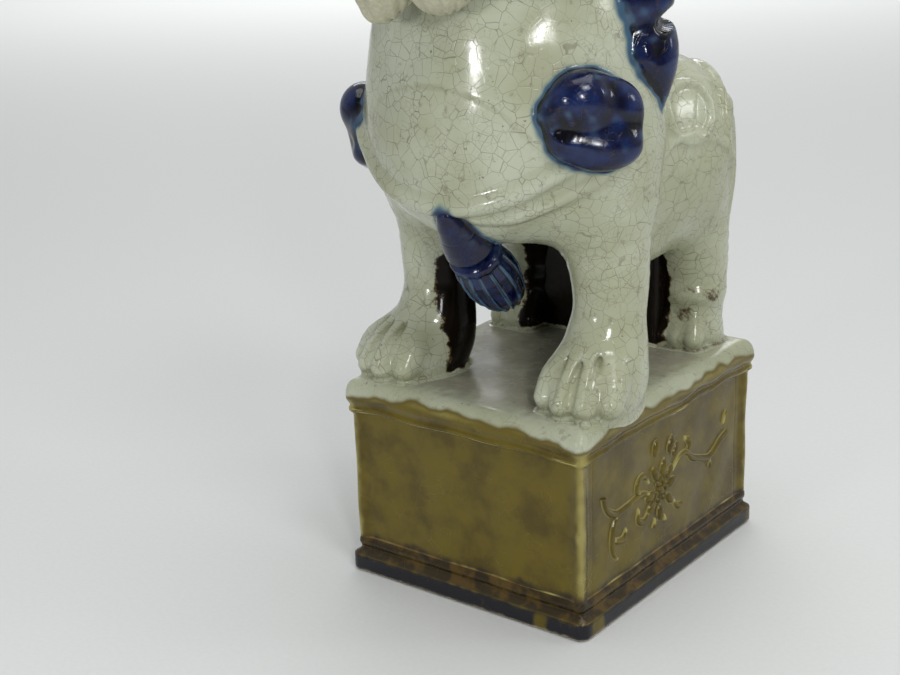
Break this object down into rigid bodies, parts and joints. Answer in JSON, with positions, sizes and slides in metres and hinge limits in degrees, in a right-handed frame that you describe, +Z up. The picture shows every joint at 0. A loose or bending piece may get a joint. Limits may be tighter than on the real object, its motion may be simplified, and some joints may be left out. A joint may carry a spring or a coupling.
{
  "type": "foo dog statue",
  "caption": "Standing guardian lion figure in crackle-glazed ceramic on a hollow box plinth with raised flower panels.",
  "frame": {"origin": "bottom centre of the whole figure's bounding box, on the surface the plinth stands on", "axes": "+Z up, the lion faces -Y, its left side is +X"},
  "size_m": [0.1296, 0.1734, 0.3245],
  "materials": {
    "celadon_glaze": "glossy pale grey-green glaze with dark crackle",
    "cobalt_glaze": "glossy cobalt blue glaze that bleeds at its edge",
    "ochre_glaze": "glossy mottled olive ochre glaze",
    "foot_slip": "dark slip band with amber glaze pools",
    "relief_glaze": "thin pale glaze over raised ornament",
    "bare_clay": "dry buff clay with combed lines",
    "cream_glaze": "glossy cream glaze",
    "brown_glaze": "glossy iron brown glaze",
    "sooty_clay": "dark dry clay in shadow"
  },
  "bodies": {
    "root": {"plinth_top_slab": "celadon_glaze", "plinth_foot": "foot_slip", "plinth_front_wall": "ochre_glaze", "plinth_back_wall": "ochre_glaze", "plinth_left_wall": "ochre_glaze", "plinth_right_wall": "ochre_glaze", "left_wall_flower": "relief_glaze", "left_wall_back_vine": "relief_glaze", "left_wall_front_vine": "relief_glaze", "right_wall_flower": "relief_glaze", "right_wall_back_vine": "relief_glaze", "right_wall_front_vine": "relief_glaze", "torso": "celadon_glaze", "left_foreleg": "celadon_glaze", "right_foreleg": "celadon_glaze", "left_hind_leg": "celadon_glaze", "right_hind_leg": "celadon_glaze", "rear_web": "sooty_clay", "chest_strap": "celadon_glaze", "tassel_knot": "cobalt_glaze", "tassel_cap": "cobalt_glaze", "tassel_skirt": "cobalt_glaze", "tail_plume": "cobalt_glaze", "tail_left_strand": "celadon_glaze", "tail_right_strand": "celadon_glaze", "head_shell": "celadon_glaze", "lower_jaw": "celadon_glaze", "tongue": "brown_glaze", "upper_teeth": "cream_glaze", "lower_teeth": "cream_glaze", "nose": "celadon_glaze", "left_eye": "cream_glaze", "left_brow": "cobalt_glaze", "left_ear": "celadon_glaze", "left_beard_tuft": "bare_clay", "right_eye": "cream_glaze", "right_brow": "cobalt_glaze", "right_ear": "celadon_glaze", "right_beard_tuft": "bare_clay", "left_shoulder_curl": "cobalt_glaze", "right_shoulder_curl": "cobalt_glaze", "left_neck_curl": "cobalt_glaze", "right_neck_curl": "cobalt_glaze", "left_cheek_curl": "cobalt_glaze", "right_cheek_curl": "cobalt_glaze", "left_temple_curl": "cobalt_glaze", "right_temple_curl": "cobalt_glaze", "left_jaw_curl": "cobalt_glaze", "right_jaw_curl": "cobalt_glaze", "left_nape_curl": "cobalt_glaze", "right_nape_curl": "cobalt_glaze", "left_scruff_curl": "cobalt_glaze", "right_scruff_curl": "cobalt_glaze", "left_crown_curl": "cobalt_glaze", "right_crown_curl": "cobalt_glaze", "forelock": "cobalt_glaze", "back_head_curl": "cobalt_glaze"}
  },
  "joints": []
}
